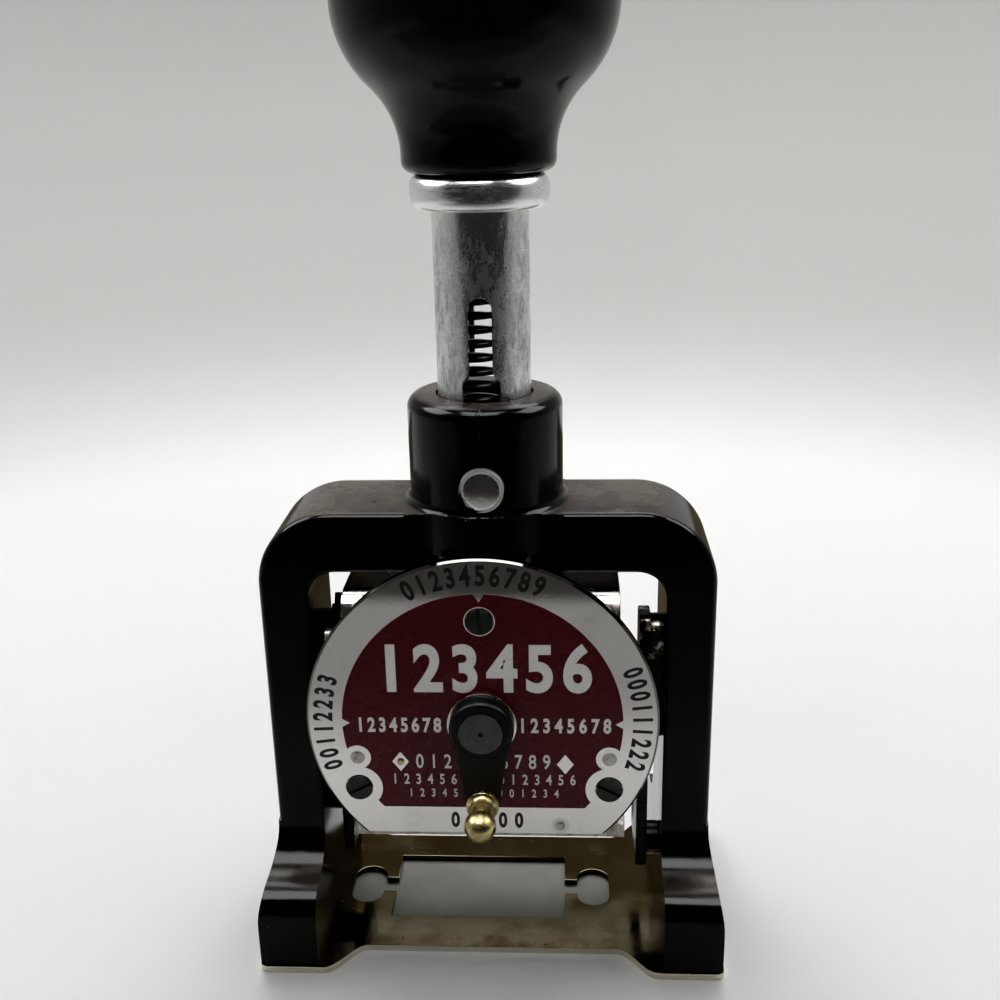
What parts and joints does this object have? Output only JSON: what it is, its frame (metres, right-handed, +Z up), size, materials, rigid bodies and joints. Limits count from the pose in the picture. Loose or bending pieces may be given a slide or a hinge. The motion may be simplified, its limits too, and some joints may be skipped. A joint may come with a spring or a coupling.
{
  "type": "hand numbering machine",
  "caption": "Self-inking hand numbering machine: sprung plunger in an arched casting, number wheels with feed, swinging ink pad and a dial with a turning movement selector.",
  "frame": {"origin": "on the plunger's axis, at the underside of the base plate", "axes": "+Z up along the plunger, +Y away from the user who faces the dial, +X to that user's right"},
  "size_m": [0.076, 0.0471, 0.1677],
  "materials": {
    "polished_nickel": "polished nickel plate",
    "screw_steel": "plain steel",
    "black_enamel": "glossy stoved enamel on cast iron",
    "black_plate": "blackened steel with worn edges",
    "black_screw": "blackened steel",
    "bright_steel": "polished steel",
    "black_knob": "glossy black",
    "ferrule": "polished",
    "worn_nickel": "nickel plate, lightly worn",
    "spring_steel": "dark spring steel",
    "carriage_nickel": "satin nickel plate",
    "dial_nickel": "satin, with a maroon enamelled field",
    "brass": "turned and lightly tarnished",
    "type_metal": "dark type metal",
    "felt": "inked felt"
  },
  "bodies": {
    "frame": {"base_plate": "polished_nickel", "base_screws": "screw_steel", "frame_casting": "black_enamel", "cam_plate_left": "black_plate", "cam_plate_right": "black_plate", "cam_screws": "black_screw", "spring_seat": "screw_steel"},
    "lock_button": {"lock_pin": "bright_steel"},
    "plunger": {"knob": "black_knob", "ferrule_ring": "ferrule", "plunger_tube": "worn_nickel", "tube_plug": "screw_steel", "tube_nut": "screw_steel", "main_spring": "spring_steel", "yoke": "carriage_nickel", "wheel_axle": "bright_steel", "wheel_spacer": "bright_steel", "detent_comb": "spring_steel", "detent_rod": "bright_steel", "dial_plate": "dial_nickel", "dial_screws": "black_screw", "dial_dowels": "bright_steel", "selector_spring": "spring_steel", "spring_stud": "bright_steel"},
    "selector": {"selector_washer": "dial_nickel", "selector_lever": "black_enamel", "selector_shaft": "bright_steel", "selector_knob": "brass", "selector_disc": "bright_steel"},
    "wheel_1": {"number_wheel_1": "type_metal"},
    "wheel_2": {"number_wheel_2": "type_metal"},
    "wheel_3": {"number_wheel_3": "type_metal"},
    "wheel_4": {"number_wheel_4": "type_metal"},
    "wheel_5": {"number_wheel_5": "type_metal"},
    "wheel_6": {"number_wheel_6": "type_metal"},
    "feed": {"feed_arm_left": "carriage_nickel", "feed_arm_right": "carriage_nickel", "feed_rod": "bright_steel", "feed_pin": "bright_steel"},
    "pawl": {"feed_pawl": "spring_steel"},
    "pad": {"pad_carrier": "carriage_nickel", "pad_pin": "bright_steel", "felt_pad": "felt"}
  },
  "joints": [
    {"name": "plunger_slide", "type": "slide", "parent": "frame", "child": "plunger", "axis": [0, 0, -1], "range_m": [0, 0.019], "stiffness_N_per_m": 1000, "springref_m": -0.02, "deforming": ["main_spring"]},
    {"name": "lock_button_slide", "type": "slide", "parent": "frame", "child": "lock_button", "axis": [0, -1, 0], "range_m": [-0.002, 0]},
    {"name": "selector_turn", "type": "hinge", "parent": "plunger", "child": "selector", "pos_m": [-0.00075, -0.0137, 0.0423], "axis": [0, 1, 0], "continuous": true},
    {"name": "wheel_1_turn", "type": "hinge", "parent": "plunger", "child": "wheel_1", "pos_m": [0.00835, 0, 0.0283], "axis": [1, 0, 0], "continuous": true},
    {"name": "wheel_2_turn", "type": "hinge", "parent": "plunger", "child": "wheel_2", "pos_m": [0.00385, 0, 0.0283], "axis": [1, 0, 0], "continuous": true},
    {"name": "wheel_3_turn", "type": "hinge", "parent": "plunger", "child": "wheel_3", "pos_m": [-0.00065, 0, 0.0283], "axis": [1, 0, 0], "continuous": true},
    {"name": "wheel_4_turn", "type": "hinge", "parent": "plunger", "child": "wheel_4", "pos_m": [-0.00515, 0, 0.0283], "axis": [1, 0, 0], "continuous": true},
    {"name": "wheel_5_turn", "type": "hinge", "parent": "plunger", "child": "wheel_5", "pos_m": [-0.00965, 0, 0.0283], "axis": [1, 0, 0], "continuous": true},
    {"name": "wheel_6_turn", "type": "hinge", "parent": "plunger", "child": "wheel_6", "pos_m": [-0.01415, 0, 0.0283], "axis": [1, 0, 0], "continuous": true},
    {"name": "feed_swing", "type": "hinge", "parent": "plunger", "child": "feed", "pos_m": [-0.0029, 0, 0.0283], "axis": [1, 0, 0], "range_deg": [-45, 0]},
    {"name": "pawl_swing", "type": "hinge", "parent": "feed", "child": "pawl", "pos_m": [-0.0029, -0.00996, 0.03405], "axis": [1, 0, 0], "range_deg": [-12, 0], "stiffness_Nm_per_rad": 0.002, "springref_deg": 11.46},
    {"name": "pad_swing", "type": "hinge", "parent": "plunger", "child": "pad", "pos_m": [-0.0029, 0, 0.0283], "axis": [1, 0, 0], "range_deg": [0, 100]}
  ],
  "couplings": [
    {"joint": "feed_swing", "follows": "plunger_slide", "rad_per_m": -41.337},
    {"joint": "pad_swing", "follows": "plunger_slide", "rad_per_m": 91.859}
  ]
}
